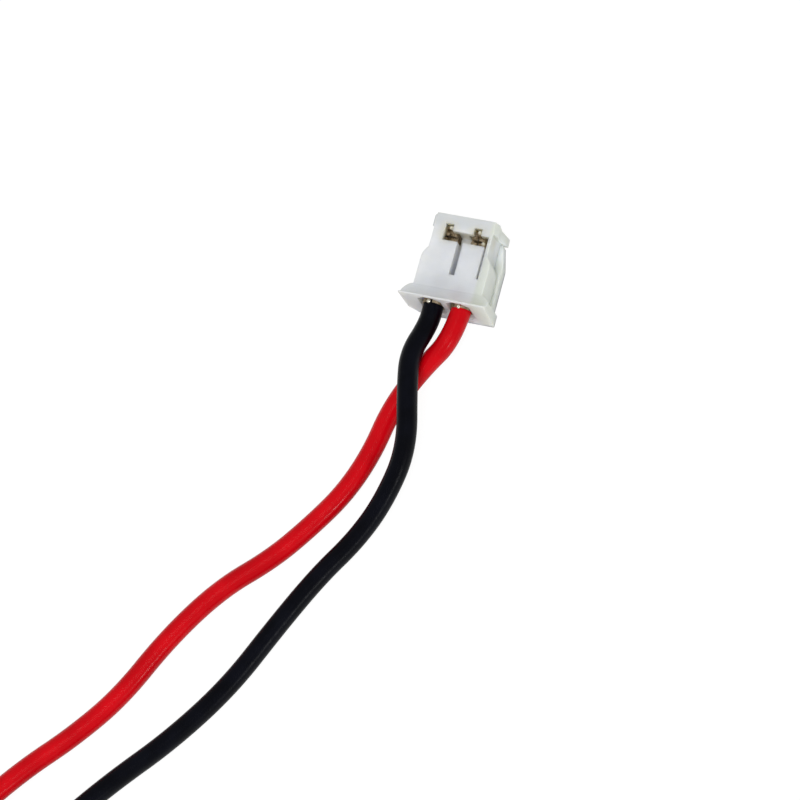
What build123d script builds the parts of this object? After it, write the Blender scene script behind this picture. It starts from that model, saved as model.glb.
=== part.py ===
"""Single-cell soft pack with a protection board, two leads and a two-way crimp plug.

Frame: origin at the middle of the pack's underside, +X towards the leads, +Z up, millimetres.
The plug has its own frame: x across the contacts, y from wire face to mating face, z from its back.
"""
from build123d import *
import math
import os

# ---- pouch cell -------------------------------------------------------------
cell_length = 38.0  # drawn cup, tail to front wall
cell_width = 20.0  # over the folded side seals
cell_height = 5.8  # cover sheet to cup top
film = 0.12  # aluminium laminate
fold_gap = 0.06  # between the cup's wall and its folded seal
seal_height = 3.6  # folded side seal, above the cover
cup_corner_radius = 1.5
cup_edge_radius = 1.0
terrace_length = 5.6  # sealed ledge in front of the cup
terrace_thickness = 0.38
terrace_inset = 0.6  # ledge narrower than the cup, each side

# ---- electrode stack --------------------------------------------------------
anode_thickness = 0.32
cathode_thickness = 0.30
separator_thickness = 0.09
stack_lift = 0.30  # stack above the cover
stack_side_clearance = 0.1  # separator to the cup's rounded edges
electrode_inset = 0.4  # electrode inside its separator
tail_room = 2.2  # space in front of the stack for the foil tails
tail_reach = 0.9  # ear length before the welded bundle
tail_thickness = 0.06
bundle_thickness = 0.25

# ---- tabs -------------------------------------------------------------------
tab_width = 3.0
tab_thickness = 0.10
tab_spacing = 12.4  # centre to centre
tab_loop = 0.6  # room for the tab's fold past the ledge
tab_bend_radius = 0.2
seal_film = 0.08
seal_margin = 1.0  # sealant beyond the tab, each side
seal_reach = 0.8  # sealant inside the cup
seal_show = 0.15  # sealant past the ledge
tab_root = 0.6  # tab's inner end in front of the stack

# ---- protection board -------------------------------------------------------
board_gap = 0.25  # cup wall to board
board_depth = 5.2
board_width = 16.4
board_thickness = 0.6
insulator_thickness = 0.15
insulator_rise = 3.2  # turned up against the cup
pad_thickness = 0.05
plate_depth = 2.4
plate_width = 3.2
plate_thickness = 0.2
plate_setback = 0.25  # from the board's front edge
lead_pad_depth = 2.0
lead_pad_width = 1.7
lead_pad_setback = 0.7
chip_setback = 0.3  # from the board's back edge
chip_depth = 1.7
chip_height = 0.75
guard_chip_width = 2.0
guard_chip_y = -1.6
switch_chip_width = 2.8
switch_chip_y = 1.6
chip_pad_count = 3  # terminals along each long side
chip_pad_width = 0.3
chip_pad_show = 0.18
chip_pad_height = 0.12
chip_edge = 0.06  # chamfer round the top
passive_length = 1.0
passive_width = 0.5
passive_height = 0.38
passive_cap = 0.22  # plated end
passive_plating = 0.02  # end caps proud of the block
resistor_y = 4.0  # both sides of the centre
capacitor_y = -0.22
solder_height = 1.15
solder_slope = 0.35  # mound's top inside its foot
solder_corner = 0.6

# ---- wraps ------------------------------------------------------------------
skin = 0.10  # label sleeve and polyimide tape
edge_tape = 0.06
edge_tape_inset = 0.5  # tail end left bare
shoulder_radius = 1.2  # wraps over the cup's long edges
tape_overlap = 6.0  # polyimide tape on the cell
tape_front_rise = 0.5  # above the leads at the front face
tape_shoulder = 0.6  # slope starts this far past the cup
tape_corner_radius = 0.8
sleeve_tail = 4.0  # bare pouch at the tail
sleeve_gap = 0.4  # sleeve to polyimide tape

# ---- leads ------------------------------------------------------------------
lead_diameter = 1.4
conductor_diameter = 0.6
lead_spacing = 4.4  # where they leave the pack
lead_lift = 0.05  # insulation above the board
lead_overlap = 0.8  # insulation inside the ledge's end
lead_hole_clearance = 0.08
exit_reach = 2.4  # straight out of the pack
conductor_overlap = 1.8  # on its pad

# ---- plug -------------------------------------------------------------------
plug_x = 70.0  # wire face centre
plug_y = 5.8
plug_turn = 34.0  # mating direction from +X, degrees
pitch = 2.0
body_width = 4.8
body_depth = 3.5  # back to front face
neck_width = 4.1
shoulder_start = 3.05  # body narrows to the neck in a rounded shoulder
shoulder_end = 3.75
shoulder_bulge = 0.06
plug_length = 6.2
bar_width = 4.62
bar_front_length = 0.88
bar_back_length = 0.62
bar_chamfer = 0.27  # off each front corner
bar_chamfer_depth = 0.45
bar_waist_width = 4.4  # its sides are slightly hollow
bar_waist_height = 1.95
bar_back_width = 4.84
bar_back_height = 0.35  # clear of the housing's back
bar_round = 0.12
flange_width = 6.0
flange_depth = 4.4
flange_flat = 0.1
flange_end = 1.05
flange_sag = 0.24  # hollow of the flare
flange_round = 0.08
flange_taper = 0.18  # plain end, narrower at the back
flange_key_width = 0.75  # corner taken off the other end
flange_key_height = 1.35
rib_width = 5.2
rib_depth = 1.0
rib_full = 3.9
rib_end = 5.5
rib_tip_width = 4.4

contact_axis_z = 2.25  # wire centre
wall_back = 1.0  # back wall behind the contacts
arm_thickness = 0.55
cavity_width = 1.3
cavity_end = 5.6
entry_width = 1.64
entry_depth = 1.65
entry_top = 3.1
entry_bottom = 1.3
mouth_top = 4.15  # entry flares up to an arch at the wire face
mouth_depth = 0.5
mouth_corner = 0.5
pin_hole = 0.9
window_left = -1.25
window_right = 1.76
window_start = 4.38
window_end = 5.1
window_floor = 2.1  # wall between the contacts, seen through the window
notch_width = 0.56
notch_end = 5.58
notch_floor = 2.2
slot_start = 2.08
middle_slot_width = 0.38
side_slot_width = 0.15
side_slot_floor = 0.8

# ---- contacts ---------------------------------------------------------------
metal = 0.15
box_width = 1.0
box_clearance = 0.15  # box to back wall
box_height = 1.7
box_start = 3.6
box_end = 5.5
box_seam = 0.08
box_gap_start = 4.75
box_gap_end = 4.92
conductor_crimp_start = 2.2
conductor_crimp_end = 3.2
conductor_crimp_wall = 0.18
insulation_crimp_start = 0.1  # barrel's rim shows in the entry
insulation_crimp_end = 0.85
insulation_crimp_wall = 0.1
crimp_seam = 0.12
strip_width = 0.7
lance_width = 0.42  # latch tongue, bent up out of the box
lance_root = 5.05
lance_tip = 5.42
lance_rise = 0.34
insulation_end = 1.6  # inside the plug
conductor_end = 3.35
red_axis_points = [(-1.7, 0)]  # along the contact's axis and aside, after the insulation's end
black_axis_points = [(0.3, -0.003), (-1.24, 0)]

overshoot = 1.0  # cutters run past the faces that they open

# ---- worked out from the above ----------------------------------------------
pack_length = cell_length + terrace_length + tab_loop + skin
cell_back = -pack_length / 2
cup_front = cell_back + cell_length
terrace_end = cup_front + terrace_length
head = terrace_end + tab_loop + skin
cell_half = cell_width / 2
cup_half = cell_half - 2 * film - fold_gap
cover_top = skin + film
cell_top = skin + cell_height
terrace_top = cover_top + terrace_thickness
tab_z = cover_top + terrace_thickness / 2
stack_front = cup_front - film - tail_room
board_back = cup_front + board_gap
board_front = board_back + board_depth
board_bottom = terrace_top + insulator_thickness
board_top = board_bottom + board_thickness
pad_top = board_top + pad_thickness
plate_top = pad_top + plate_thickness
tape_back = cup_front - tape_overlap
wrap_half = cell_half + edge_tape
lead_radius = lead_diameter / 2
lead_z = board_top + lead_lift + lead_radius
lead_pad_front = board_front - lead_pad_setback
insulation_inner_x = terrace_end - lead_overlap
conductor_inner_x = insulation_inner_x - conductor_overlap
tape_front_height = lead_z + lead_radius + tape_front_rise
box_bottom = wall_back + box_clearance
pin_z = box_bottom + box_height / 2
arm_bottom = body_depth - arm_thickness
plug_place = Location((plug_x, plug_y, 0), (0, 0, plug_turn - 90))

# Leads from plug to pack: free points between the two straight exits, chosen by hand.
# The black lead humps over the red one about 6 mm from the plug; both then lie on the table.
lie = lead_radius
red_free = [
    (65.9, 4.3, 1.2), (62.8, 3.85, 0.75), (59.8, 2.45, lie), (56.7, 1.65, lie), (53.5, 1.55, lie),
    (50.2, 1.7, lie), (46.2, 2.6, lie), (41.4, 2.5, lie), (36.6, 1.7, lie), (32.4, 1.9, lie),
    (28.7, 2.3, 1.3),
]
black_free = [
    (66.15, 5.1, 2.75), (64.55, 3.45, 2.9), (61.75, 0.45, 2.2), (58.3, -0.8, 1.2), (55.2, -1.3, lie),
    (51.8, -1.4, lie), (47.6, -2.0, lie), (42.6, -2.9, lie), (37.4, -2.9, lie), (32.6, -2.3, lie),
    (28.6, -2.3, 1.3),
]


def block(x0, x1, y0, y1, z0, z1):
    """Box between two corners."""
    return Pos((x0 + x1) / 2, (y0 + y1) / 2, (z0 + z1) / 2) * Box(x1 - x0, y1 - y0, z1 - z0)


def mirrored(shape):
    """The same shape on the other side of the pack."""
    return mirror(shape, Plane.XZ)


def prism_x(points, x0, x1):
    """Outline of (y, z) points drawn out along X."""
    face = Plane.YZ.offset(x0) * make_face(Polyline(*points, close=True))
    return extrude(face, x1 - x0, dir=(1, 0, 0))


def prism_y(points, y0, y1):
    """Outline of (x, z) points drawn out along Y."""
    face = make_face(Polyline(*[(x, y0, z) for x, z in points], close=True))
    return extrude(face, y1 - y0, dir=(0, 1, 0))


def prism_z(points, z0, z1):
    """Outline of (x, y) points drawn out along Z."""
    face = make_face(Polyline(*[(x, y, z0) for x, y in points], close=True))
    return extrude(face, z1 - z0, dir=(0, 0, 1))


def bent_strip(points, radius, thickness, y0, y1):
    """Sheet strip whose middle follows (x, z) points, bent to one radius."""
    line = FilletPolyline(*points, radius=radius)
    face = Plane.XZ.offset(-y0) * trace(line, thickness)
    return extrude(face, y1 - y0, dir=(0, 1, 0))


# ---- cell -------------------------------------------------------------------
def cup_body(inset):
    """Drawn cup as a solid, smaller all round by inset and open below."""
    body = block(cell_back + inset, cup_front - inset, -cup_half + inset, cup_half - inset,
                 cover_top, cell_top - inset)
    body = fillet(body.edges().filter_by(Axis.Z), cup_corner_radius - inset)
    return fillet(body.faces().sort_by(Axis.Z)[-1].edges(), cup_edge_radius - inset)


def tab_seal_block(side):
    """Sealant pad round one tab, before the tab's slot is taken out."""
    y = side * tab_spacing / 2
    half = tab_width / 2 + seal_margin
    rise = tab_thickness / 2 + seal_film
    return block(cup_front - film - seal_reach, terrace_end + seal_show, y - half, y + half,
                 tab_z - rise, tab_z + rise)


def pouch_cup():
    cup = cup_body(0) - cup_body(film)
    foot = block(cell_back, cup_front, cup_half - film, cell_half - film, cover_top, cover_top + film)
    flap = block(cell_back, cup_front, cell_half - 2 * film, cell_half - film, cover_top, skin + seal_height)
    terrace_half = cup_half - terrace_inset
    terrace = block(cup_front - film, terrace_end, -terrace_half, terrace_half, cover_top, terrace_top)
    cup = cup + foot + flap + mirrored(foot) + mirrored(flap) + terrace
    return cup - tab_seal_block(1) - tab_seal_block(-1)


def pouch_cover():
    sheet = block(cell_back, cup_front, -cell_half, cell_half, skin, cover_top)
    ledge_half = cup_half - terrace_inset
    ledge = block(cup_front, terrace_end, -ledge_half, ledge_half, skin, cover_top)
    flap = block(cell_back, cup_front, cell_half - film, cell_half, skin, skin + seal_height)
    return sheet + ledge + flap + mirrored(flap)


def stack_levels():
    """Bottom heights of the anodes, separators and cathodes, from the cover up."""
    pair = anode_thickness + cathode_thickness + 2 * separator_thickness
    room = cell_top - film - cover_top - stack_lift - anode_thickness
    pairs = int(room // pair)
    bottom = cover_top + stack_lift
    anodes = [bottom + k * pair for k in range(pairs + 1)]
    cathodes = [z + anode_thickness + separator_thickness for z in anodes[:-1]]
    lower = [z - separator_thickness for z in cathodes]
    upper = [z + cathode_thickness for z in cathodes]
    return anodes, cathodes, lower + upper


def sheet_group(levels, thickness, inset):
    """Flat sheets at the given heights, with corners that clear the cup's."""
    gap = film + cup_edge_radius / 2 + stack_side_clearance + inset
    half = cup_half - gap
    sheets = [block(cell_back + gap, stack_front, -half, half, z, z + thickness) for z in levels]
    return Compound([fillet(sheet.edges().filter_by(Axis.Z), cup_corner_radius) for sheet in sheets])


def foil_tails(levels, thickness, side):
    """Ears of one polarity's foils, welded to a bundle that stands on the tab."""
    y0 = side * tab_spacing / 2 - tab_width / 2
    y1 = y0 + tab_width
    x1 = stack_front + tail_reach
    middles = [z + thickness / 2 for z in levels]
    top = middles[-1] + tail_thickness / 2
    tails = block(x1, x1 + bundle_thickness, y0, y1, tab_z + tab_thickness / 2, top)
    for z in middles:
        tails = tails + block(stack_front, x1, y0, y1, z - tail_thickness / 2, z + tail_thickness / 2)
    return tails


def tab(side):
    """Flat through the seal, folded up past the ledge and back onto its weld plate."""
    y = side * tab_spacing / 2
    x_fold = terrace_end + tab_loop / 2
    z_weld = plate_top + tab_thickness / 2
    points = [(stack_front + tab_root, tab_z), (x_fold, tab_z), (x_fold, z_weld),
              (board_front - plate_setback - plate_depth, z_weld)]
    return bent_strip(points, tab_bend_radius, tab_thickness, y - tab_width / 2, y + tab_width / 2)


def tab_seal(side):
    y = side * tab_spacing / 2
    slot = block(cell_back, head, y - tab_width / 2, y + tab_width / 2,
                 tab_z - tab_thickness / 2, tab_z + tab_thickness / 2)
    return tab_seal_block(side) - slot


# ---- board ------------------------------------------------------------------
def board_insulator():
    half = board_width / 2
    flat = block(cup_front, terrace_end, -half, half, terrace_top, board_bottom)
    rise = block(cup_front, cup_front + insulator_thickness, -half, half, terrace_top, insulator_rise)
    return flat + rise


def protection_board():
    return block(board_back, board_front, -board_width / 2, board_width / 2, board_bottom, board_top)


def on_board(x0, x1, y, width, z0, z1):
    return block(x0, x1, y - width / 2, y + width / 2, z0, z1)


def plate_span():
    front = board_front - plate_setback
    return front - plate_depth, front


def weld_plates():
    x0, x1 = plate_span()
    middles = [side * tab_spacing / 2 for side in (1, -1)]
    return Compound([on_board(x0, x1, y, plate_width, pad_top, plate_top) for y in middles])


def board_pads():
    x0, x1 = plate_span()
    pads = [on_board(x0, x1, side * tab_spacing / 2, plate_width, board_top, pad_top) for side in (1, -1)]
    for side in (1, -1):
        pads.append(on_board(lead_pad_front - lead_pad_depth, lead_pad_front, side * lead_spacing / 2,
                             lead_pad_width, board_top, pad_top))
    return Compound(pads)


def chip(y, width):
    """Leadless package with plated terminals showing along both long sides."""
    x0 = board_back + chip_setback
    x1 = x0 + chip_depth
    body = on_board(x0, x1, y, width, board_top, board_top + chip_height)
    body = chamfer(body.faces().sort_by(Axis.Z)[-1].edges(), chip_edge)
    step = width / chip_pad_count
    for k in range(chip_pad_count):
        y_pad = y - width / 2 + (k + 0.5) * step
        body = body + on_board(x0 - chip_pad_show, x1 + chip_pad_show, y_pad, chip_pad_width,
                               board_top, board_top + chip_pad_height)
    return body


def passive(y):
    """Surface-mount block with thicker plated ends."""
    x0 = board_back + chip_setback
    x1 = x0 + passive_length
    middle = on_board(x0, x1, y, passive_width - 2 * passive_plating,
                      board_top, board_top + passive_height - passive_plating)
    ends = [on_board(x0, x0 + passive_cap, y, passive_width, board_top, board_top + passive_height),
            on_board(x1 - passive_cap, x1, y, passive_width, board_top, board_top + passive_height)]
    return middle + ends[0] + ends[1]


def solder_joints():
    """Mounds over the leads' bared ends."""
    mounds = []
    x = lead_pad_front - lead_pad_depth / 2
    for side in (1, -1):
        y = side * lead_spacing / 2
        foot = RectangleRounded(lead_pad_depth, lead_pad_width, solder_corner)
        cap = offset(foot, -solder_slope)
        mound = loft([Pos(x, y, pad_top) * foot, Pos(x, y, pad_top + solder_height) * cap])
        core = Pos(x, y, lead_z) * Rot(0, 90, 0) * Cylinder(conductor_diameter / 2, 2 * lead_pad_depth)
        end_stub = block(x - 2 * lead_pad_depth, conductor_inner_x, y - conductor_diameter,
                         y + conductor_diameter, lead_z - conductor_diameter, lead_z + conductor_diameter)
        mounds.append(mound - (core - end_stub))
    return Compound(mounds)


# ---- wraps ------------------------------------------------------------------
def left_edge_tape():
    """Strip over one folded side seal, hooked onto its top edge."""
    top = skin + seal_height
    side = block(cell_back + edge_tape_inset, cup_front, cell_half, wrap_half, skin, top + edge_tape)
    hook = block(cell_back + edge_tape_inset, cup_front, cup_half, cell_half, top, top + edge_tape)
    return side + hook


def wrap_bar(x0, x1, grow):
    """Cell cross-section with rounded long top edges, drawn out along X."""
    bar = block(x0, x1, -wrap_half - grow, wrap_half + grow, skin - grow, cell_top + grow)
    top = bar.faces().sort_by(Axis.Z)[-1].edges().filter_by(Axis.X)
    return fillet(top, shoulder_radius + grow)


def label_sleeve():
    x0 = cell_back + sleeve_tail
    x1 = tape_back - sleeve_gap
    return wrap_bar(x0, x1, skin) - wrap_bar(x0, x1, 0)


def tape_wedge(grow):
    """Boot outline: square over the cell, sloping down in front of the cup."""
    top = cell_top + grow
    front = head - skin + grow
    outline = [(tape_back, skin - grow), (front, skin - grow), (front, tape_front_height - skin + grow),
               (cup_front + tape_shoulder, top), (tape_back, top)]
    wedge = prism_y(outline, -wrap_half - grow, wrap_half + grow)
    wedge = wedge & wrap_bar(tape_back, head, grow)
    corners = wedge.faces().sort_by(Axis.X)[-1].edges().filter_by(Axis.Z)
    return fillet(corners, tape_corner_radius + grow - skin)


def polyimide_tape():
    boot = tape_wedge(skin) - tape_wedge(0)
    for side in (1, -1):
        hole = Pos(head, side * lead_spacing / 2, lead_z) * Rot(0, 90, 0)
        boot = boot - hole * Cylinder(lead_radius + lead_hole_clearance, 4 * skin)
    return boot


# ---- plug -------------------------------------------------------------------
def widths(half0, y0, half1, y1):
    return [(-half0, y0), (half0, y0), (half1, y1), (-half1, y1)]


def flange():
    """Wire-end collar: flares out in a cove on the front face and both sides."""
    half = flange_width / 2
    body_half = body_width / 2
    crest_point = (flange_flat, flange_depth)
    side = Polyline((flange_end, body_depth), (flange_end, 0), (0, 0), (0, flange_depth), crest_point)
    side = side + SagittaArc(crest_point, (flange_end, body_depth), -flange_sag)
    slab = extrude(Plane.YZ.offset(-half) * make_face(side), flange_width, dir=(1, 0, 0))
    plan = Polyline((half, flange_flat), (half, 0), (-half, 0), (-half, flange_flat))
    plan = plan + SagittaArc((-half, flange_flat), (-body_half, flange_end), flange_sag)
    plan = plan + Line((-body_half, flange_end), (body_half, flange_end))
    plan = plan + SagittaArc((body_half, flange_end), (half, flange_flat), flange_sag)
    ends = [(-half + flange_key_width, 0), (half - flange_taper, 0), (half, flange_depth),
            (-half, flange_depth), (-half, flange_key_height)]
    collar = slab & extrude(make_face(plan), flange_depth, dir=(0, 0, 1)) & prism_y(ends, 0, flange_end)
    crest = collar.edges().filter_by(Axis.X).group_by(Axis.Z)[-1].sort_by(Axis.Y)[0]
    return fillet(crest, flange_round)


def plug_body():
    """Body, shoulders and neck as one outline drawn up from the back."""
    half = body_width / 2
    slim = neck_width / 2
    wide = [(-half, shoulder_start), (-half, flange_flat), (half, flange_flat), (half, shoulder_start)]
    narrow = [(slim, shoulder_end), (slim, plug_length), (-slim, plug_length), (-slim, shoulder_end)]
    outline = Polyline(*wide) + SagittaArc(wide[-1], narrow[0], -shoulder_bulge)
    outline = outline + Polyline(*narrow) + SagittaArc(narrow[-1], wide[0], -shoulder_bulge)
    return extrude(make_face(outline), body_depth, dir=(0, 0, 1))


def plug_shell():
    """Outer form of the housing without its openings."""
    back = prism_z(widths(rib_width / 2, flange_flat, rib_width / 2, rib_full), 0, rib_depth)
    back = back + prism_z(widths(rib_width / 2, rib_full, rib_tip_width / 2, rib_end), 0, rib_depth)
    side = [(plug_length - bar_back_length, bar_back_height), (plug_length, bar_back_height),
            (plug_length, body_depth), (plug_length - bar_front_length, body_depth)]
    right = [(bar_back_width / 2, bar_back_height), (bar_waist_width / 2, bar_waist_height),
             (bar_width / 2, body_depth - bar_chamfer_depth), (bar_width / 2 - bar_chamfer, body_depth)]
    left = [(-x, z) for x, z in reversed(right)]
    bar = prism_x(side, -bar_back_width, bar_back_width) & prism_y(right + left, 0, plug_length)
    bar = fillet(bar.faces().sort_by(Axis.Y)[-1].edges(), bar_round)
    return back + plug_body() + bar + flange()


def across(x, width, y0, y1, z0, z1):
    """Block of one width, centred across on x."""
    return block(x - width / 2, x + width / 2, y0, y1, z0, z1)


def arch(y, top, corner):
    """Entry cross-section at one depth: upright sides and cut top corners."""
    half = entry_width / 2
    points = [(-half, entry_bottom), (half, entry_bottom), (half, top - corner), (half - corner, top),
              (corner - half, top), (-half, top - corner)]
    return make_face(Polyline(*[(x, y, z) for x, z in points], close=True))


def plug_housing():
    shell = plug_shell()
    sections = [arch(0, mouth_top, mouth_corner), arch(mouth_depth, entry_top, mouth_corner / 2)]
    mouth = loft(sections, ruled=True)
    over_front = body_depth + overshoot
    for side in (1, -1):
        x = side * pitch / 2
        shell = shell - across(x, cavity_width, -overshoot, cavity_end, wall_back, arm_bottom)
        shell = shell - across(x, entry_width, 0, entry_depth, entry_bottom, entry_top)
        shell = shell - Pos(x, 0, 0) * mouth
        shell = shell - across(x, pin_hole, 0, plug_length + overshoot, pin_z - pin_hole / 2,
                               pin_z + pin_hole / 2)
        shell = shell - across(x, notch_width, window_start, notch_end, notch_floor, over_front)
    shell = shell - block(window_left, window_right, window_start, window_end, window_floor, over_front)
    shell = shell - across(0, middle_slot_width, slot_start, window_end, window_floor, over_front)
    return shell - across(window_right, side_slot_width, slot_start, window_end, side_slot_floor, over_front)


def crimp_ring(radius, wall, y0, y1):
    """Barrel closed round a wire, with a seam along its top."""
    ring = Cylinder(radius + wall, y1 - y0) - Cylinder(radius, y1 - y0)
    ring = Pos(0, (y0 + y1) / 2, contact_axis_z) * Rot(90, 0, 0) * ring
    top = contact_axis_z + radius + wall
    return ring - block(-crimp_seam / 2, crimp_seam / 2, y0, y1, contact_axis_z, top + wall)


def contact():
    """Crimp terminal: spring box, carrier strip and two crimp barrels."""
    box_top = box_bottom + box_height
    half = box_width / 2
    box = block(-half, half, box_start, box_end, box_bottom, box_top)
    box = fillet(box.edges().filter_by(Axis.Y), metal)
    box = box - across(0, box_width - 2 * metal, box_start - overshoot, box_end + overshoot,
                       box_bottom + metal, box_top - metal)
    box = box - block(-box_seam / 2, box_seam / 2, box_start, box_end, box_top - metal, box_top)
    box = box - block(-half, half, box_gap_start, box_gap_end, box_top - 2 * metal, box_top)
    spring = [(box_start, box_bottom + metal), (box_end, box_bottom + metal),
              ((box_start + box_end) / 2, pin_z - metal)]
    tongue = prism_x(spring, -half + 2 * metal, half - 2 * metal)
    lance = [(lance_root, box_top - metal), (lance_root + metal, box_top - metal),
             (lance_tip, box_top + lance_rise), (lance_tip - metal, box_top + lance_rise)]
    lance = prism_x(lance, -lance_width / 2, lance_width / 2)
    floor_1 = contact_axis_z - lead_radius - insulation_crimp_wall
    floor_2 = contact_axis_z - conductor_diameter / 2 - conductor_crimp_wall / 2
    floor_3 = box_bottom + metal / 2
    path = Polyline((insulation_crimp_start, floor_1), (insulation_end + metal, floor_1),
                    (conductor_crimp_start, floor_2), (conductor_crimp_end, floor_2),
                    (box_start, floor_3), (box_start + metal, floor_3))
    strip = extrude(Plane.YZ.offset(-strip_width / 2) * trace(path, insulation_crimp_wall), strip_width,
                    dir=(1, 0, 0))
    wires = Pos(0, plug_length / 2, contact_axis_z) * Rot(90, 0, 0)
    bore = wires * Cylinder(conductor_diameter / 2, plug_length)
    jacket = Cylinder(lead_radius, insulation_end + overshoot)
    jacket = Pos(0, (insulation_end - overshoot) / 2, contact_axis_z) * Rot(90, 0, 0) * jacket
    inner = crimp_ring(conductor_diameter / 2, conductor_crimp_wall, conductor_crimp_start,
                       conductor_crimp_end)
    outer = crimp_ring(lead_radius, insulation_crimp_wall, insulation_crimp_start, insulation_crimp_end)
    return box + tongue + lance + (strip + inner + outer - bore - jacket)


# ---- leads ------------------------------------------------------------------
def plug_point(side, y, aside=0):
    """Point on one contact's axis, or just beside it, in the pack's frame."""
    return (plug_place * Pos(side * pitch / 2 + aside, y, contact_axis_z)).position


def lead_route(side, axis_points, free):
    """Corner points from the insulation's end in the plug to its end on the board."""
    y = side * lead_spacing / 2
    start = [plug_point(side, insulation_end)] + [plug_point(side, *p) for p in axis_points]
    finish = [Vector(head + exit_reach, y, lead_z), Vector(insulation_inner_x, y, lead_z)]
    return start + [Vector(*p) for p in free] + finish


def corner_radii(points):
    """Largest tangent arc at each corner: 0.45 of the shorter run."""
    radii = []
    for a, b, c in zip(points, points[1:], points[2:]):
        half_turn = math.radians((b - a).get_angle(c - b)) / 2
        radii.append(0.45 * min((b - a).length, (c - b).length) / math.tan(half_turn))
    return radii


def swept(points, radii, section):
    path = FilletPolyline(*points, radius=radii)
    tube = sweep(Plane(path @ 0, z_dir=path % 0) * section, path=path)
    ratio = tube.volume / (section.area * path.length)
    return tube, path.length, ratio


def lead(name, side, axis_points, free):
    """Insulation and conductor of one lead, on the same route."""
    points = lead_route(side, axis_points, free)
    radii = corner_radii(points)
    jacket = Circle(lead_diameter / 2) - Circle(conductor_diameter / 2)
    insulation, length, ratio = swept(points, radii, jacket)
    print(name, "insulation", round(length, 2), "mm, volume ratio", round(ratio, 4))
    print(name, "radii", [round(r, 1) for r in radii])
    ends = [plug_point(side, conductor_end)] + points[1:-1]
    ends.append(Vector(conductor_inner_x, side * lead_spacing / 2, lead_z))
    conductor, length, ratio = swept(ends, radii, Circle(conductor_diameter / 2))
    print(name, "conductor", round(length, 2), "mm, volume ratio", round(ratio, 4))
    return insulation, conductor


def main():
    anodes, cathodes, separators = stack_levels()
    red_insulation, red_conductor = lead("red", 1, red_axis_points, red_free)
    black_insulation, black_conductor = lead("black", -1, black_axis_points, black_free)
    terminal = contact()
    nodes = {
        "pouch_cup": pouch_cup(),
        "pouch_cover": pouch_cover(),
        "anode_sheets": sheet_group(anodes, anode_thickness, electrode_inset),
        "cathode_sheets": sheet_group(cathodes, cathode_thickness, electrode_inset),
        "separator_sheets": sheet_group(separators, separator_thickness, 0),
        "positive_foil_tails": foil_tails(cathodes, cathode_thickness, 1),
        "negative_foil_tails": foil_tails(anodes, anode_thickness, -1),
        "positive_tab": tab(1),
        "negative_tab": tab(-1),
        "positive_tab_seal": tab_seal(1),
        "negative_tab_seal": tab_seal(-1),
        "board_insulator": board_insulator(),
        "protection_board": protection_board(),
        "board_pads": board_pads(),
        "weld_plates": weld_plates(),
        "guard_chip": chip(guard_chip_y, guard_chip_width),
        "switch_chip": chip(switch_chip_y, switch_chip_width),
        "resistors": Compound([passive(resistor_y), passive(-resistor_y)]),
        "capacitor": passive(capacitor_y),
        "solder_joints": solder_joints(),
        "left_edge_tape": left_edge_tape(),
        "right_edge_tape": mirrored(left_edge_tape()),
        "label_sleeve": label_sleeve(),
        "polyimide_tape": polyimide_tape(),
        "plug_housing": plug_place * plug_housing(),
        "red_contact": plug_place * Pos(pitch / 2, 0, 0) * terminal,
        "black_contact": plug_place * Pos(-pitch / 2, 0, 0) * terminal,
        "red_lead_insulation": red_insulation,
        "black_lead_insulation": black_insulation,
        "red_lead_conductor": red_conductor,
        "black_lead_conductor": black_conductor,
    }
    os.makedirs("parts", exist_ok=True)
    for name, shape in nodes.items():
        export_step(shape, f"parts/{name}.step")


main()
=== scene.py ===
import math
import bpy
import bmesh
import numpy as np
from mathutils import Matrix, Vector


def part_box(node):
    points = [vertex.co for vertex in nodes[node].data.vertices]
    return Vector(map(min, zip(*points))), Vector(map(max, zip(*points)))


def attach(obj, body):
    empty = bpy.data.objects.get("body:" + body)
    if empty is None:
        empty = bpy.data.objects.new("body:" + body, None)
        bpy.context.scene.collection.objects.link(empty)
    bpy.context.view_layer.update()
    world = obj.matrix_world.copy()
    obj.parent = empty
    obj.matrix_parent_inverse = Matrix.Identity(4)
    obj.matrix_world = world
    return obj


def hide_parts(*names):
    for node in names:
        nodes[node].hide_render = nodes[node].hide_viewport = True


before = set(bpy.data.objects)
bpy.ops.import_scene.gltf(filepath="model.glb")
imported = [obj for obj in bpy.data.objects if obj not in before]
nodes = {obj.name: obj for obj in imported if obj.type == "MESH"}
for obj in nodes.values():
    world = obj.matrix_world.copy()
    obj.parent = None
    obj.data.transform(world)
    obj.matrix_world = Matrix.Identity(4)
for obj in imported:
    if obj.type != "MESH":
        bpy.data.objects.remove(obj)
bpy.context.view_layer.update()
mm = 0.001


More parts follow.
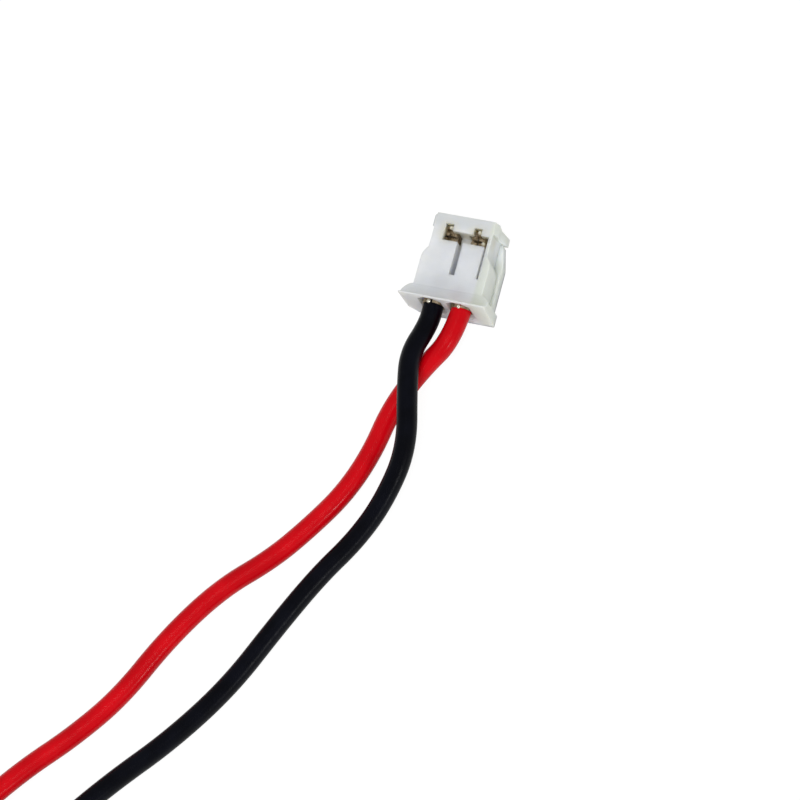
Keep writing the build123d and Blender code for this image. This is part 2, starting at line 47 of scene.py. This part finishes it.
class Wire:  # a node socket that does arithmetic: an expression on wires adds its Math nodes
    def __init__(self, tree, socket=None):
        self.tree, self.socket = tree, socket

    def node(self, kind, settings=None, sockets=None, out=0):  # any node: settings, then values or links
        made = self.tree.nodes.new(kind)
        for key, value in (settings or {}).items():
            setattr(made, key, value)
        for key, value in (sockets or {}).items():
            if isinstance(value, Wire):
                self.tree.links.new(value.socket, made.inputs[key])
            else:
                made.inputs[key].default_value = value
        return Wire(self.tree, None if out is None else made.outputs[out])

    def maths(self, operation, *values):
        return self.node("ShaderNodeMath", {"operation": operation}, dict(enumerate(values)))

    def __add__(self, other):
        return self.maths("ADD", self, other)

    def __sub__(self, other):
        return self.maths("SUBTRACT", self, other)

    def __rsub__(self, other):
        return self.maths("SUBTRACT", other, self)

    def __mul__(self, other):
        return self.maths("MULTIPLY", self, other)

    def largest(self, *others):
        value = self
        for other in others:
            value = self.maths("MAXIMUM", value, other)
        return value

    def between(self, low, high):  # smooth 0 to 1 as the value goes from low to high
        sockets = {"Value": self, "From Min": low, "From Max": high}
        return self.node("ShaderNodeMapRange", {"interpolation_type": "SMOOTHSTEP"}, sockets)

    def colours(self, first, second):  # first where this is 0, second where it is 1
        return self.node("ShaderNodeMix", {"data_type": "RGBA"}, {0: self, 6: first, 7: second}, 2)


def rgb(red, green, blue):
    return (red, green, blue, 1.0)


def place(wire, stretch=(1, 1, 1)):  # where a point is on the piece, in metres, stretched along the axes
    where = wire.node("ShaderNodeTexCoord", out=3)
    return wire.node("ShaderNodeMapping", {}, {"Vector": where, "Scale": stretch})


def distance(wire, centre):  # from a point of the piece to centre, in metres
    return wire.node("ShaderNodeVectorMath", {"operation": "DISTANCE"}, {0: place(wire), 1: centre}, "Value")


def cloud(wire, size, detail=3.0, stretch=(1, 1, 1)):  # soft noise whose spots are about size metres across
    sockets = {"Vector": place(wire, stretch), "Scale": 1 / size, "Detail": detail}
    return wire.node("ShaderNodeTexNoise", {}, sockets)


def bumps(wire, height, depth):  # normal of a surface that rises by depth where height is 1
    return wire.node("ShaderNodeBump", {}, {"Height": height, "Distance": depth, "Strength": 1.0})


def finish(name, fixed, paint):  # constants on the shader's own sockets, then what paint(wire) links
    made = bpy.data.materials.new(name)
    made.use_nodes = True
    shader = made.node_tree.nodes["Principled BSDF"]
    for key, value in fixed.items():
        shader.inputs[key].default_value = value
    for key, value in paint(Wire(made.node_tree)).items():
        made.node_tree.links.new(value.socket, shader.inputs[key])
    return made


mottleSet = {"span": (0.32, 0.7), "swell": 0.3, "detail": 4.0}  # noise from tone to tone, spots' relief


def mottled(look):  # two tones in soft spots, fine grain in the gloss and the surface
    def paint(wire):
        spots = cloud(wire, look["spot"] * mm, mottleSet["detail"])
        grain = cloud(wire, look["grain"] * mm, stretch=look.get("stretch", (1, 1, 1)))
        tone = spots.between(*mottleSet["span"]).colours(rgb(*look["low"]), rgb(*look["high"]))
        height = spots * look.get("swell", mottleSet["swell"]) + grain
        return {"Base Color": tone, "Roughness": grain * look["wear"] + look["rough"],
                "Normal": bumps(wire, height, look["depth"] * mm)}
    return paint


metalLook = {"spot": 0.8, "grain": 0.15, "wear": 0.2, "depth": 0.006, "stretch": (1, 4, 1)}
coatLook = {"spot": 0.5, "grain": 0.1, "wear": 0.2, "rough": 0.6, "depth": 0.012}
filmLook = {"spot": 1.4, "grain": 0.25, "wear": 0.2, "rough": 0.35, "depth": 0.01}
metal = {"Metallic": 1.0}

plugFrame = {"x": 70.0, "y": 5.8, "turn": 56.0}  # middle of the wire face, and its axes' turn


def inPlug(x, y, z):  # a point of the plug's own frame, turned and moved to where the plug lies, in metres
    turn = math.radians(plugFrame["turn"])
    return ((plugFrame["x"] + x * math.cos(turn) + y * math.sin(turn)) * mm,
            (plugFrame["y"] - x * math.sin(turn) + y * math.cos(turn)) * mm, z * mm)


nylonLook = {"low": (0.70, 0.715, 0.745), "high": (0.76, 0.77, 0.795), "spot": 1.5, "grain": 0.12,
             "wear": 0.16, "rough": 0.36, "depth": 0.005}
# local tints of painted light and shade, listed: middle on the plug, reach, share and tone. Two are painted
# warm light where the contacts show through the wall, two are painted shade by the leads, and last a paler
# patch of painted light on the right side that stands for nothing in the wall
nylonPaintedLight = [
    {"at": (-1.0, 4.95, 2.6), "near": 0.6, "far": 1.4, "share": 0.85, "tone": (0.66, 0.62, 0.46)},
    {"at": (1.0, 4.95, 2.6), "near": 0.6, "far": 1.4, "share": 0.85, "tone": (0.66, 0.62, 0.46)},
    {"at": (-0.45, 1.35, 3.5), "near": 0.1, "far": 1.1, "share": 0.6, "tone": (0.57, 0.58, 0.605)},
    {"at": (0.7, 0.85, 3.5), "near": 0.1, "far": 0.9, "share": 0.6, "tone": (0.60, 0.575, 0.60)},
    {"at": (2.1, 5.0, 1.4), "near": 0.4, "far": 1.3, "share": 0.8, "tone": (0.83, 0.87, 0.85)},
]
nylonShade = {
    "endShade": (0.60, 0.62, 0.64), "ends": ((4.9, 5.7, 0.85), (2.4, 1.2, 0.3)),  # painted shade at the solid ends, greyer: from, to, share
    "side": (0.635, 0.665, 0.625), "flank": (1.7, 2.0),  # painted shade on the right side alone: from and to, across the plug
}


def nylonPaint(wire):
    # the plain mottle, with painted shade greyer at the solid ends and darker and greener on the right side,
    # mixed with each local tint of painted light and shade near its middle; across and along are the point's
    # own places on the plug's axes
    sockets = mottled(nylonLook)(wire)
    turn = math.radians(plugFrame["turn"])
    ways = ((math.cos(turn), -math.sin(turn), 0), (math.sin(turn), math.cos(turn), 0))
    kind = "ShaderNodeVectorMath"
    away = wire.node(kind, {"operation": "SUBTRACT"}, {0: place(wire), 1: inPlug(0, 0, 0)})
    across, along = (wire.node(kind, {"operation": "DOT_PRODUCT"}, {0: away, 1: way}, "Value")
                     for way in ways)
    ends = [along.between(start * mm, end * mm) * share for start, end, share in nylonShade["ends"]]
    # painted shade: greyer at the solid ends, in proportion to share
    tone = (ends[0] + ends[1]).colours(sockets["Base Color"], rgb(*nylonShade["endShade"]))
    inner, outer = nylonShade["flank"]
    # painted shade: darker and greener across the right side alone
    tone = across.between(inner * mm, outer * mm).colours(tone, rgb(*nylonShade["side"]))
    # painted light and shade: each local tint mixed in near its middle
    for paintedLight in nylonPaintedLight:
        close = distance(wire, inPlug(*paintedLight["at"])).between(paintedLight["far"] * mm, paintedLight["near"] * mm)
        tone = (close * paintedLight["share"]).colours(tone, rgb(*paintedLight["tone"]))
    return {**sockets, "Base Color": tone}


nylon = finish("nylonWhite", {"Subsurface Weight": 1.0, "Subsurface Radius": (1.0, 0.95, 0.8),
                              "Subsurface Scale": 1.1 * mm, "Specular IOR Level": 0.3}, nylonPaint)
redLook = {"low": (0.50, 0.001, 0.005), "high": (0.60, 0.002, 0.007), "spot": 2.0, "grain": 0.26,
           "wear": 0.1, "rough": 0.16, "depth": 0.008}
redSkin = finish("redInsulation", {"Specular IOR Level": 0.12}, mottled(redLook))
blackLook = {"low": (0.0006, 0.0008, 0.0025), "high": (0.0018, 0.0022, 0.0055), "spot": 1.6,
             "grain": 0.26, "wear": 0.2, "rough": 0.24, "depth": 0.008}
blackSkin = finish("blackInsulation", {"Specular IOR Level": 0.11}, mottled(blackLook))
bronzeLook = {"low": (0.60, 0.48, 0.34), "high": (0.14, 0.10, 0.05), "spot": 0.3, "grain": 0.08,
              "wear": 0.3, "rough": 0.34, "depth": 0.008}
tipSet = {  # small bright domes that catch the rim light, with a painted highlight round each, fading between two multiples of their width
    "width": 0.13, "height": 0.05, "facing": (0.0, -0.64, 0.77), "paintedHighlight": (0.92, 0.88, 0.76), "gloss": 0.26,
    "fade": (1.15, 0.9), "red": ((1.08, 5.38, 3.19), (1.4, 4.75, 2.86), (0.93, 0.14, 3.05)),
    "black": ((-0.92, 5.38, 3.19), (-1.19, 0.14, 3.02)),
}


def bronzePaint(wire):  # spotted bronze with a painted highlight: mixed to bright and smooth within reach of a dome
    sockets = mottled(bronzeLook)(wire)
    far, near = (tipSet["width"] * times * mm for times in tipSet["fade"])
    first, *others = (distance(wire, inPlug(*spot)).between(far, near)
                      for spot in tipSet["red"] + tipSet["black"])
    # painted highlight: strongest near the nearest dome
    paintedGlint = first.largest(*others)
    sockets["Base Color"] = paintedGlint.colours(sockets["Base Color"], rgb(*tipSet["paintedHighlight"]))
    sockets["Roughness"] = sockets["Roughness"] * (1 - paintedGlint) + paintedGlint * tipSet["gloss"]
    return sockets


bronze = finish("springBronze", {"Metallic": 0.75}, bronzePaint)


def plain(name, look, low, high, fixed=None, **changes):  # a mottled finish in two tones, on a shared look
    return finish(name, fixed or {}, mottled({**look, "low": low, "high": high, **changes}))


nickel = plain("rolledNickel", metalLook, (0.66, 0.64, 0.60), (0.74, 0.72, 0.68), metal, rough=0.25)
aluminium = plain("aluminiumTab", metalLook, (0.78, 0.79, 0.80), (0.86, 0.86, 0.87), metal, rough=0.28)
copper = plain("copperFoil", metalLook, (0.72, 0.36, 0.20), (0.82, 0.46, 0.28), metal, rough=0.25)
tin = plain("brightTin", metalLook, (0.70, 0.70, 0.70), (0.82, 0.82, 0.81), metal, rough=0.14,
            stretch=(1, 1, 1))
strands = plain("tinnedStrands", metalLook, (0.66, 0.56, 0.46), (0.78, 0.70, 0.62), metal, rough=0.3,
                spot=0.3)
graphite = plain("graphiteCoat", coatLook, (0.03, 0.03, 0.034), (0.06, 0.06, 0.064))
oxide = plain("oxideCoat", coatLook, (0.07, 0.07, 0.08), (0.11, 0.11, 0.12))
ceramic = plain("ceramicBlock", coatLook, (0.36, 0.25, 0.16), (0.46, 0.34, 0.23))
epoxy = plain("chipEpoxy", coatLook, (0.02, 0.02, 0.022), (0.035, 0.035, 0.037))
paper = plain("fishPaper", coatLook, (0.30, 0.38, 0.43), (0.38, 0.46, 0.50))
separator = plain("separatorFilm", filmLook, (0.84, 0.84, 0.82), (0.90, 0.90, 0.88))
sealant = plain("tabSealant", filmLook, (0.78, 0.78, 0.72), (0.86, 0.86, 0.80))
edgeFilm = plain("edgeTape", filmLook, (0.74, 0.75, 0.76), (0.82, 0.83, 0.84))
laminate = plain("boardLaminate", filmLook, (0.008, 0.12, 0.05), (0.015, 0.17, 0.075),
                 {"Coat Weight": 0.4, "Coat Roughness": 0.15})
amberLook = {"low": (0.62, 0.25, 0.005), "high": (0.69, 0.31, 0.012), "spot": 4.0, "grain": 0.6,
             "wear": 0.1, "rough": 0.12, "depth": 0.02, "swell": 1.5}
amberClear = {"Alpha": 0.7, "Coat Weight": 1.0, "Coat Roughness": 0.08}
amber = finish("polyimideFilm", amberClear, mottled(amberLook))
foilLook = {"low": (0.72, 0.73, 0.74), "high": (0.80, 0.80, 0.81), "span": (0.3, 0.7), "crease": 2.4,
            "detail": 4.0, "grain": 0.3, "fine": 0.04, "wear": 0.16, "rough": 0.24, "depth": 0.06}


def foilPaint(wire):  # laminate foil: soft creases that run every way, over a fine grain
    crease = cloud(wire, foilLook["crease"] * mm, foilLook["detail"])
    fine = cloud(wire, foilLook["grain"] * mm)
    tone = crease.between(*foilLook["span"]).colours(rgb(*foilLook["low"]), rgb(*foilLook["high"]))
    height = crease + fine * foilLook["fine"]
    return {"Base Color": tone, "Roughness": fine * foilLook["wear"] + foilLook["rough"],
            "Normal": bumps(wire, height, foilLook["depth"] * mm)}


pouchFoil = finish("pouchFoil", {"Metallic": 0.92}, foilPaint)

labelLook = {
    "stripes": ((6.3, 8.1), (-16.9, -16.5)), "edge": 0.03, "ink": (0.03, 0.12, 0.36),  # print, along the pack
    "low": (0.70, 0.70, 0.69), "high": (0.75, 0.75, 0.74), "span": (0.3, 0.7), "spot": 4.0, "detail": 4.0,
    "grain": 0.2, "fine": 0.1, "wear": 0.15, "rough": 0.32, "depth": 0.03,
}


def labelPaint(wire):  # blank white film with one plain blue band and one thin line
    along = wire.node("ShaderNodeSeparateXYZ", {}, {"Vector": place(wire)})
    edge = labelLook["edge"] * mm
    stripes = []
    for start, end in labelLook["stripes"]:
        low, high = start * mm, end * mm
        stripes.append(along.between(low - edge, low + edge) * (1 - along.between(high - edge, high + edge)))
    ink = stripes[0].largest(stripes[1])
    spots = cloud(wire, labelLook["spot"] * mm, labelLook["detail"])
    grain = cloud(wire, labelLook["grain"] * mm)
    blank = spots.between(*labelLook["span"]).colours(rgb(*labelLook["low"]), rgb(*labelLook["high"]))
    return {"Base Color": ink.colours(blank, rgb(*labelLook["ink"])),
            "Roughness": grain * labelLook["wear"] + labelLook["rough"],
            "Normal": bumps(wire, spots + grain * labelLook["fine"], labelLook["depth"] * mm)}


labelFilm = finish("labelFilm", {"Coat Weight": 0.3, "Coat Roughness": 0.25}, labelPaint)
print("finishes mixed")

cameraSet = {"place": (61.67, -50.03, 139.39), "aim": (63.63, 4.19, 0.0), "roll": -40.45, "lens": 100.0,
             "sensor": 36.0, "near": 5 * mm, "far": 5.0}


def makeCamera(s):  # looks from place to aim, then turns about its own line of sight
    data = bpy.data.cameras.new("camera")
    data.lens, data.sensor_width = s["lens"], s["sensor"]
    data.clip_start, data.clip_end = s["near"], s["far"]
    camera = bpy.data.objects.new("camera", data)
    bpy.context.scene.collection.objects.link(camera)
    where, aim = Vector(s["place"]) * mm, Vector(s["aim"]) * mm
    look = (aim - where).to_track_quat("-Z", "Y").to_matrix().to_4x4()
    camera.matrix_world = Matrix.Translation(where) @ look @ Matrix.Rotation(math.radians(s["roll"]), 4, "Z")
    bpy.context.scene.camera = camera


makeCamera(cameraSet)
print("camera placed")

leadSet = {"diameter": 1.4 * mm, "redLength": 52.5 * mm, "blackLength": 53.4 * mm, "order": 3,
           "stepsRound": 7, "stepsAlong": 12}
packExit = (22.15, 2.2, 2.1)  # where the red lead leaves the pack; the black one leaves on the other side
lie = 0.7  # height of a lead's middle where it lies on the floor
redRoute = [  # corner points from the crimp in the plug to the solder on the board
    (71.886, 5.866, 2.25), (69.150, 4.020, 2.25), (65.9, 4.3, 1.2), (62.8, 3.85, 0.75), (59.8, 2.45, lie),
    (56.7, 1.65, lie), (53.5, 1.55, lie), (50.2, 1.7, lie), (46.2, 2.6, lie), (41.4, 2.5, lie),
    (36.6, 1.7, lie), (32.4, 1.9, lie), (28.7, 2.3, 1.3), (24.55, 2.2, 2.1), (20.65, 2.2, 2.1),
]
blackRoute = [
    (70.767, 7.524, 2.25), (69.688, 6.799, 2.25), (68.413, 5.936, 2.25), (66.15, 5.1, 2.75),
    (64.55, 3.45, 2.9), (61.75, 0.45, 2.2), (58.3, -0.8, 1.2), (55.2, -1.3, lie), (51.8, -1.4, lie),
    (47.6, -2.0, lie), (42.6, -2.9, lie), (37.4, -2.9, lie), (32.6, -2.3, lie), (28.6, -2.3, 1.3),
    (24.55, -2.2, 2.1), (20.65, -2.2, 2.1),
]


def makeLead(name, route, skin, node):  # a round tube on the smooth curve that the corner points pull
    curve = bpy.data.curves.new(name, "CURVE")
    curve.dimensions = "3D"
    curve.bevel_depth, curve.bevel_resolution = leadSet["diameter"] / 2, leadSet["stepsRound"]
    curve.resolution_u = curve.render_resolution_u = leadSet["stepsAlong"]
    curve.use_fill_caps = True
    spline = curve.splines.new("NURBS")
    spline.points.add(len(route) - 1)
    for point, corner in zip(spline.points, route):
        point.co = (*[value * mm for value in corner], 1.0)
    spline.order_u, spline.use_endpoint_u = leadSet["order"], True
    curve.materials.append(skin)
    lead = bpy.data.objects.new(name, curve)
    bpy.context.scene.collection.objects.link(lead)
    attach(lead, "root")
    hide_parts(node)
    return lead


redLead = makeLead("redLead", redRoute, redSkin, "red_lead_insulation")
blackLead = makeLead("blackLead", blackRoute, blackSkin, "black_lead_insulation")

meshSet = {"merge": 0.0005 * mm, "flat": math.radians(1.5), "sharp": math.radians(30), "domeSteps": 4}


def softened(name, node, skin, slot, width, segments, crowns=()):
    # the node's solid with its triangles joined into flat faces and every sharp edge rounded to width, and a
    # low dome at each crown, turned to face one way
    shell = nodes[node].data.copy()
    shell.name = name
    mesh = bmesh.new()
    mesh.from_mesh(shell)
    bmesh.ops.remove_doubles(mesh, verts=mesh.verts, dist=meshSet["merge"])
    bmesh.ops.dissolve_limit(mesh, angle_limit=meshSet["flat"], verts=mesh.verts, edges=mesh.edges)
    facing = Vector(tipSet["facing"]).to_track_quat("Z", "Y").to_matrix().to_4x4()
    size = Matrix.Diagonal((tipSet["width"] * mm, tipSet["width"] * mm, tipSet["height"] * mm, 1.0))
    for spot in crowns:
        where = Matrix.Translation(inPlug(*spot)) @ facing @ size
        bmesh.ops.create_icosphere(mesh, subdivisions=meshSet["domeSteps"], radius=1.0, matrix=where)
    bmesh.ops.recalc_face_normals(mesh, faces=mesh.faces)
    mesh.to_mesh(shell)
    mesh.free()
    shell.materials.clear()
    shell.materials.append(skin)
    made = bpy.data.objects.new(name, shell)
    bpy.context.scene.collection.objects.link(made)
    bevel = made.modifiers.new("edges", "BEVEL")
    bevel.width, bevel.segments, bevel.limit_method = width, segments, "ANGLE"
    bevel.angle_limit = meshSet["sharp"]
    bevel.harden_normals = True
    shell.shade_smooth()
    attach(made, "root")
    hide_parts(node)
    return made


shellEdge = {"width": 0.16 * mm, "segments": 3}  # how sharp edges are rounded
terminalEdge = {"width": 0.03 * mm, "segments": 2}
plug = softened("plugShell", "plug_housing", nylon, "natural_nylon", **shellEdge)
redTerminal = softened("redTerminal", "red_contact", bronze, "bronze", **terminalEdge, crowns=tipSet["red"])
blackTerminal = softened("blackTerminal", "black_contact", bronze, "bronze", **terminalEdge,
                         crowns=tipSet["black"])
print("plug and leads made")

rippleSet = {"waves": 9, "shortest": 0.7, "longest": 1.6}  # how many, and their lengths in sizes


def ripple(points, size, seed):  # smooth noise from -1 to 1: a sum of sine waves in seeded random directions
    rng = np.random.default_rng(seed)
    total = np.zeros(points.shape[:-1])
    for _ in range(rippleSet["waves"]):
        way = rng.normal(size=3)
        length = size * mm * rng.uniform(rippleSet["shortest"], rippleSet["longest"])
        way *= 2 * math.pi / (length * np.linalg.norm(way))
        total += np.sin(points @ way + rng.uniform(0, 2 * math.pi))
    return np.clip(total / (0.5 * rippleSet["waves"]), -1, 1)


wrapSet = {"dish": 0.02, "wave": 0.016, "waveSize": 9.0, "waveSeed": 3, "fine": 0.006, "fineSize": 2.2,
           "fineSeed": 8}


def sunk(points):
    # how far the wraps lie inside the flat box at a point, in metres: one depth and two sizes of ripple
    wave = wrapSet["wave"] * ripple(points, wrapSet["waveSize"], wrapSet["waveSeed"])
    fine = wrapSet["fine"] * ripple(points, wrapSet["fineSize"], wrapSet["fineSeed"])
    return (wrapSet["dish"] + np.maximum(wave + fine, -wrapSet["dish"])) * mm


loopSet = {"straight": 26, "turn": 9}  # points on a straight side and on a corner
sideMiddle = loopSet["turn"] + loopSet["straight"] // 2  # the point half way up the first side


def roundedLoop(half, low, high, upperRadius, lowerRadius):
    # a closed loop of (y, z) round a box with rounded corners, and its outward normals; counts stay the same
    # for every size, so that loops join one to one. Sides run anticlockwise from the lower right corner
    quarter = np.linspace(0, math.pi / 2, loopSet["turn"])
    spots, ways = [], []
    corners = [(half, low, lowerRadius, -math.pi / 2), (half, high, upperRadius, 0.0),
               (-half, high, upperRadius, math.pi / 2), (-half, low, lowerRadius, math.pi)]
    arcs = []
    for y, z, radius, start in corners:
        middle = np.array([y - math.copysign(radius, y), z + (radius if z == low else -radius)])
        way = np.stack([np.cos(start + quarter), np.sin(start + quarter)], -1)
        arcs.append((middle + radius * way, way))
    for index, (spot, way) in enumerate(arcs):
        after = arcs[(index + 1) % 4][0][0]
        share = np.linspace(0, 1, loopSet["straight"] + 2)[1:-1, None]
        spots += [spot, spot[-1] * (1 - share) + after * share]
        ways += [way, np.repeat(way[-1:], loopSet["straight"], 0)]
    return np.concatenate(spots), np.concatenate(ways)


def skinFaces(rings, around):  # quads between neighbouring rings
    ring = np.arange(rings - 1)[:, None] * around
    first, after = np.arange(around), (np.arange(around) + 1) % around
    quads = np.stack([ring + first, ring + after, ring + around + after, ring + around + first], -1)
    return quads.reshape(-1, 4).tolist()


def makeSurface(name, points, faces, skin, node, wall):  # a mesh whose wall grows inwards
    data = bpy.data.meshes.new(name)
    data.from_pydata(points.reshape(-1, 3).tolist(), [], faces)
    mesh = bmesh.new()
    mesh.from_mesh(data)
    bmesh.ops.remove_doubles(mesh, verts=mesh.verts, dist=meshSet["merge"])
    mesh.to_mesh(data)
    mesh.free()
    data.materials.append(skin)
    data.shade_smooth()
    made = bpy.data.objects.new(name, data)
    bpy.context.scene.collection.objects.link(made)
    solid = made.modifiers.new("wall", "SOLIDIFY")
    solid.thickness, solid.offset = wall, -1.0
    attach(made, "root")
    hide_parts(node)
    return made


sleeveSet = {"steps": 150, "shoulder": 1.3, "foot": 0.15, "wall": 0.05, "flap": 0.03, "flapFrom": 3.2}


def makeSleeve(s):
    # label film: the cell's rounded outline carried along X, pressed in by sunk(), with a step where the film
    # laps over itself underneath
    low, high = (np.array(corner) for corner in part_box("label_sleeve"))
    loop, ways = roundedLoop(high[1], low[2], high[2], s["shoulder"] * mm, s["foot"] * mm)
    along = np.linspace(low[0], high[0], s["steps"])
    points = np.empty((len(along), len(loop), 3))
    points[..., 0] = along[:, None]
    points[..., 1:] = loop
    under = (loop[:, 1] < low[2] + s["foot"] * mm) & (loop[:, 0] < s["flapFrom"] * mm)
    inwards = sunk(points) * (loop[:, 1] > low[2] + 2 * s["foot"] * mm)
    inwards = inwards + s["flap"] * mm * under
    points[..., 1:] -= inwards[..., None] * ways
    makeSurface("labelWrap", points, skinFaces(*points.shape[:2]), labelFilm, "label_sleeve",
                s["wall"] * mm)


bootSet = {
    "steps": 90, "cornerSteps": 10, "capSteps": 26, "slopeFrom": 16.45, "eased": 0.25, "front": 3.3,
    "corner": 0.8, "shoulder": 1.3, "foot": 0.15, "wall": 0.05, "lip": 0.12, "lipWidth": 0.35,
    "pucker": 0.05, "foldReach": 3, "puckerStretch": (0.35, 1, 1), "puckerSize": 1.6, "puckerSeed": 21,
    "capSize": 1.8, "capSeed": 5,
}


def bootRings(s, low, high):
    # the cell's outline along X, its top sloping down past the cup and its sides drawn in on an arc round the
    # front corners, pressed in by sunk() and by puckers that grow where the film is folded over
    corner, slopeFrom = s["corner"] * mm, s["slopeFrom"] * mm
    quarter = np.linspace(0, math.pi / 2, s["cornerSteps"])[1:]
    along = np.concatenate([np.linspace(low[0], high[0] - corner, s["steps"]),
                            high[0] - corner * (1 - np.sin(quarter))])
    fallen = np.clip((along - slopeFrom) / (high[0] - slopeFrom), 0, 1)
    fallen = fallen * fallen * (3 - 2 * fallen) * s["eased"] + fallen * (1 - s["eased"])
    tops = high[2] - (high[2] - s["front"] * mm) * fallen
    past = np.clip(along - (high[0] - corner), 0, corner)
    halves = high[1] - (corner - np.sqrt(np.maximum(corner ** 2 - past ** 2, 0)))
    rings, ways = [], []
    for x, top, half in zip(along, tops, halves):
        loop, way = roundedLoop(half, low[2], top, s["shoulder"] * mm, s["foot"] * mm)
        rings.append(np.column_stack([np.full(len(loop), x), loop]))
        ways.append(np.column_stack([np.zeros(len(loop)), way]))
    points, ways = np.array(rings), np.array(ways)
    foldedOver = np.clip((points[..., 0] - slopeFrom) / (s["foldReach"] * mm), 0, 1)
    folds = ripple(points * s["puckerStretch"], s["puckerSize"], s["puckerSeed"])
    pucker = s["pucker"] * mm * foldedOver * (1 + folds)
    raised = points[..., 2] > low[2] + 2 * s["foot"] * mm
    return points - ((sunk(points) + pucker) * raised)[..., None] * ways, halves[-1] - corner


def bootFront(s, last, reach):
    # the last ring shrunk to a line that reaches that far to each side, dished and puckered along X, with a
    # raised lip round each lead
    shrink = np.linspace(1, 0, s["capSteps"])[1:, None]
    order = (np.arange(len(last)) - sideMiddle) % len(last)
    above = (np.minimum(order, len(last) - 1 - order) + sideMiddle) % len(last)
    middle = np.column_stack([last[:, 0], last[above, 1], np.full(len(last), s["front"] * mm / 2)])
    middle[:, 1] = np.clip(middle[:, 1], -reach, reach)
    cap = middle + (last - middle) * shrink[..., None]
    away = np.hypot(np.abs(cap[..., 1]) - packExit[1] * mm, cap[..., 2] - packExit[2] * mm)
    lip = np.exp(-((away - leadSet["diameter"] / 2) / (s["lipWidth"] * mm)) ** 2)
    sunkIn = s["lip"] - lip * s["lip"] + s["pucker"] * (1 + ripple(cap, s["capSize"], s["capSeed"]))
    cap[..., 0] -= sunkIn * mm * np.sin(shrink * math.pi / 2)[::-1]
    return cap


def makeBoot(s):  # amber tape over the board: rings along the pack and then the front, as one skin
    low, high = (np.array(corner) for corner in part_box("polyimide_tape"))
    points, reach = bootRings(s, low, high)
    points = np.concatenate([points, bootFront(s, points[-1], reach)])
    makeSurface("tapeBoot", points, skinFaces(*points.shape[:2]), amber, "polyimide_tape",
                s["wall"] * mm)


makeSleeve(sleeveSet)
makeBoot(bootSet)
print("wraps made")


def dress(node, skin):  # a CAD node whose shape is right gets its finish
    if not nodes[node].material_slots:
        nodes[node].data.materials.append(skin)
    for slot in nodes[node].material_slots:
        slot.material = skin


dressing = {
    "pouch_cup": pouchFoil, "pouch_cover": pouchFoil, "anode_sheets": graphite, "cathode_sheets": oxide,
    "separator_sheets": separator, "positive_foil_tails": aluminium, "negative_foil_tails": copper,
    "positive_tab": aluminium, "negative_tab": nickel, "positive_tab_seal": sealant,
    "negative_tab_seal": sealant, "board_insulator": paper, "protection_board": laminate,
    "board_pads": tin, "weld_plates": nickel, "guard_chip": epoxy, "switch_chip": epoxy,
    "resistors": ceramic, "capacitor": ceramic, "solder_joints": tin, "left_edge_tape": edgeFilm,
    "right_edge_tape": edgeFilm, "red_lead_conductor": strands, "black_lead_conductor": strands,
}
for node, skin in dressing.items():
    dress(node, skin)
print("pack dressed")

# the floor's own grey, how much white veils it to the eye and how bright, the fill, and half the floor's side
stageSet = {"floor": 0.85, "veil": 0.88, "white": 1.06, "world": 0.42, "half": 1.5}
skyTint = (0.985, 1.0, 0.96)  # of the fill that reaches the object, not of what the camera sees


def seenRays(wire):  # 1 for what the camera or a clear thing looks at
    camera = wire.node("ShaderNodeLightPath", {}, {}, "Is Camera Ray")
    return camera.largest(wire.node("ShaderNodeLightPath", {}, {}, "Is Transmission Ray"))


def makeFloor(s):  # a pale plane that looks white and keeps a part of the shadow
    half = s["half"]
    corners = [(-half, -half, 0), (half, -half, 0), (half, half, 0), (-half, half, 0)]
    data = bpy.data.meshes.new("floor")
    data.from_pydata(corners, [], [(0, 1, 2, 3)])
    made = bpy.data.materials.new("floor")
    made.use_nodes = True
    made.node_tree.nodes.clear()
    wire = Wire(made.node_tree)
    matt = wire.node("ShaderNodeBsdfDiffuse", {}, {"Color": rgb(s["floor"], s["floor"], s["floor"])})
    white = wire.node("ShaderNodeEmission", {}, {"Color": rgb(1, 1, 1), "Strength": s["white"]})
    both = wire.node("ShaderNodeMixShader", {}, {0: seenRays(wire) * s["veil"], 1: matt, 2: white})
    wire.node("ShaderNodeOutputMaterial", {}, {"Surface": both}, None)
    data.materials.append(made)
    floor = bpy.data.objects.new("floor", data)
    bpy.context.scene.collection.objects.link(floor)


def makeWorld(s):  # white to look at, soft fill as light and in reflections
    world = bpy.data.worlds.new("studio")
    bpy.context.scene.world = world
    world.use_nodes = True
    world.node_tree.nodes.clear()
    wire = Wire(world.node_tree)
    seen = wire.node("ShaderNodeLightPath", {}, {}, "Is Camera Ray")
    strength = seen * (1 - s["world"]) + s["world"]
    tint = seen.colours(rgb(*skyTint), rgb(1, 1, 1))
    sky = wire.node("ShaderNodeBackground", {}, {"Color": tint, "Strength": strength})
    wire.node("ShaderNodeOutputWorld", {}, {"Surface": sky}, None)


def makeLamp(name, s):  # a square lamp that faces its aim, in reflections only where it is mirrored
    data = bpy.data.lights.new(name, "AREA")
    data.size, data.energy = s["size"], s["power"]
    lamp = bpy.data.objects.new(name, data)
    bpy.context.scene.collection.objects.link(lamp)
    lamp.visible_glossy = s["mirrored"]
    where, aim = Vector(s["place"]), Vector(s["aim"])
    look = (aim - where).to_track_quat("-Z", "Y").to_matrix().to_4x4()
    lamp.matrix_world = Matrix.Translation(where) @ look


keySet = {"place": (-0.02, -0.12, 0.50), "aim": (0.06, 0.0, 0.0), "size": 0.30, "power": 1.95,
          "mirrored": False}
rimSet = {"place": (0.085, -0.45, 0.20), "aim": (0.06, 0.0, 0.0), "size": 0.04, "power": 0.24,
          "mirrored": True}
makeFloor(stageSet)
makeWorld(stageSet)
makeLamp("key", keySet)
makeLamp("rim", rimSet)
bpy.context.scene.view_settings.view_transform = "Standard"
print("stage lit")
